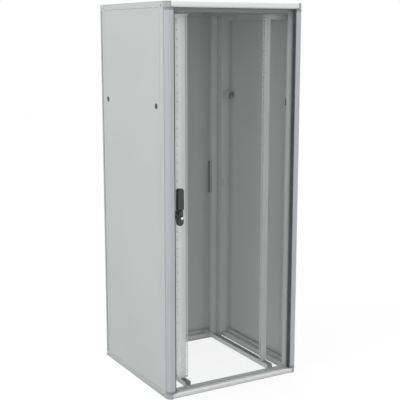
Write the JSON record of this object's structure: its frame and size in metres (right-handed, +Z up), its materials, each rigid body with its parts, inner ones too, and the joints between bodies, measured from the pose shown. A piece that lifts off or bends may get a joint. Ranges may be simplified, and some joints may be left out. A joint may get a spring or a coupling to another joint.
{
  "type": "equipment cabinet",
  "caption": "Free-standing equipment and switchboard cabinet with a glazed front door, sheet rear door, lift-off side panels, swing handles and drilled 19-inch rails.",
  "frame": {"origin": "on the floor, under the middle of the cabinet", "axes": "+Z up, front door towards -Y, +X to the right of someone facing the front door"},
  "size_m": [0.8, 0.8, 2],
  "materials": {
    "painted_steel": "fine textured powder coat, light grey",
    "trim_profile": "smooth satin powder coat on aluminium profile, light grey",
    "rail_steel": "smooth powder coat, light grey",
    "zinc_steel": "zinc plated sheet, dull",
    "grey_plastic": "moulded, matt mid grey",
    "rubber": "extruded EPDM, matt black",
    "glass": "clear toughened glass, faint grey-green",
    "black_plastic": "moulded, fine grain, black",
    "bolt_steel": "bright zinc plated",
    "chrome": "polished nickel",
    "dark_screws": "black oxide"
  },
  "bodies": {
    "cabinet_frame": {"base_beam_front": "painted_steel", "base_beam_left": "painted_steel", "base_beam_rear": "painted_steel", "base_beam_right": "painted_steel", "base_trim_front": "trim_profile", "depth_rail_bottom_left": "zinc_steel", "depth_rail_bottom_right": "zinc_steel", "depth_rail_top_left": "zinc_steel", "depth_rail_top_right": "zinc_steel", "foot_blocks": "zinc_steel", "frame_corner_screws": "dark_screws", "front_door_hinge_pins": "bolt_steel", "front_latch_keeper": "zinc_steel", "lifting_blocks": "zinc_steel", "panel_lock_keepers": "zinc_steel", "post_front_left": "painted_steel", "post_front_right": "painted_steel", "post_rear_left": "painted_steel", "post_rear_right": "painted_steel", "rack_rail_front_left": "rail_steel", "rack_rail_front_right": "rail_steel", "rack_rail_rear_left": "rail_steel", "rack_rail_rear_right": "rail_steel", "rail_bolts": "bolt_steel", "rail_stay_brackets": "zinc_steel", "rear_door_hinge_pins": "bolt_steel", "rear_latch_keeper": "zinc_steel", "roof_plate": "painted_steel", "roof_trim_front": "trim_profile", "top_beam_front": "painted_steel", "top_beam_left": "painted_steel", "top_beam_rear": "painted_steel", "top_beam_right": "painted_steel", "trim_corner_caps": "grey_plastic"},
    "front_door": {"front_door_profile_left": "trim_profile", "front_door_profile_right": "trim_profile", "front_door_end_caps": "grey_plastic", "front_door_glass": "glass", "front_door_gasket_left": "rubber", "front_door_gasket_right": "rubber", "front_handle_housing": "black_plastic"},
    "front_latch": {"front_latch_spindle": "bolt_steel", "front_latch_cam": "bolt_steel"},
    "front_lever": {"front_handle_lever": "black_plastic", "front_lever_pin": "bolt_steel"},
    "front_lock": {"front_lock_barrel": "chrome"},
    "rear_door": {"rear_door_panel": "painted_steel", "rear_lock_case": "black_plastic", "rear_handle_housing": "black_plastic"},
    "rear_latch": {"rear_latch_spindle": "bolt_steel", "rear_latch_cam": "bolt_steel"},
    "rear_lever": {"rear_handle_lever": "black_plastic", "rear_lever_pin": "bolt_steel"},
    "rear_lock": {"rear_lock_barrel": "chrome"},
    "side_panel_left": {"side_panel_left": "painted_steel"},
    "side_panel_right": {"side_panel_right": "painted_steel"},
    "panel_lock_front_left": {"panel_lock_front_left": "black_plastic"},
    "panel_lock_front_right": {"panel_lock_front_right": "black_plastic"},
    "panel_lock_rear_left": {"panel_lock_rear_left": "black_plastic"},
    "panel_lock_rear_right": {"panel_lock_rear_right": "black_plastic"}
  },
  "joints": [
    {"name": "front_door_hinge", "type": "hinge", "parent": "cabinet_frame", "child": "front_door", "pos_m": [0.39, -0.386, 1], "axis": [0, 0, 1], "range_deg": [0, 130]},
    {"name": "rear_door_hinge", "type": "hinge", "parent": "cabinet_frame", "child": "rear_door", "pos_m": [-0.393, 0.364, 1], "axis": [0, 0, 1], "range_deg": [0, 130]},
    {"name": "front_latch_turn", "type": "hinge", "parent": "front_door", "child": "front_latch", "pos_m": [-0.325, -0.39, 0.965], "axis": [0, 1, 0], "range_deg": [0, 90]},
    {"name": "front_lever_lift", "type": "hinge", "parent": "front_latch", "child": "front_lever", "pos_m": [-0.322, -0.394, 0.978], "axis": [1, 0, 0], "range_deg": [0, 40]},
    {"name": "front_key_turn", "type": "hinge", "parent": "front_door", "child": "front_lock", "pos_m": [-0.316, -0.39, 0.943], "axis": [0, 1, 0], "range_deg": [0, 90]},
    {"name": "rear_latch_turn", "type": "hinge", "parent": "rear_door", "child": "rear_latch", "pos_m": [0.318, 0.39, 0.965], "axis": [0, 1, 0], "range_deg": [-90, 0]},
    {"name": "rear_lever_lift", "type": "hinge", "parent": "rear_latch", "child": "rear_lever", "pos_m": [0.321, 0.394, 0.978], "axis": [-1, 0, 0], "range_deg": [0, 40]},
    {"name": "rear_key_turn", "type": "hinge", "parent": "rear_door", "child": "rear_lock", "pos_m": [0.327, 0.39, 0.943], "axis": [0, 1, 0], "range_deg": [0, 90]},
    {"name": "side_panel_left_lift_off", "type": "slide", "parent": "cabinet_frame", "child": "side_panel_left", "axis": [-1, 0, 0], "range_m": [0, 0.15]},
    {"name": "panel_lock_front_left_turn", "type": "hinge", "parent": "side_panel_left", "child": "panel_lock_front_left", "pos_m": [-0.39, -0.29, 1.495], "axis": [-1, 0, 0], "range_deg": [0, 90]},
    {"name": "panel_lock_rear_left_turn", "type": "hinge", "parent": "side_panel_left", "child": "panel_lock_rear_left", "pos_m": [-0.39, 0.284, 1.495], "axis": [1, 0, 0], "range_deg": [0, 90]},
    {"name": "side_panel_right_lift_off", "type": "slide", "parent": "cabinet_frame", "child": "side_panel_right", "axis": [1, 0, 0], "range_m": [0, 0.15]},
    {"name": "panel_lock_front_right_turn", "type": "hinge", "parent": "side_panel_right", "child": "panel_lock_front_right", "pos_m": [0.39, -0.29, 1.495], "axis": [-1, 0, 0], "range_deg": [0, 90]},
    {"name": "panel_lock_rear_right_turn", "type": "hinge", "parent": "side_panel_right", "child": "panel_lock_rear_right", "pos_m": [0.39, 0.284, 1.495], "axis": [1, 0, 0], "range_deg": [0, 90]}
  ]
}
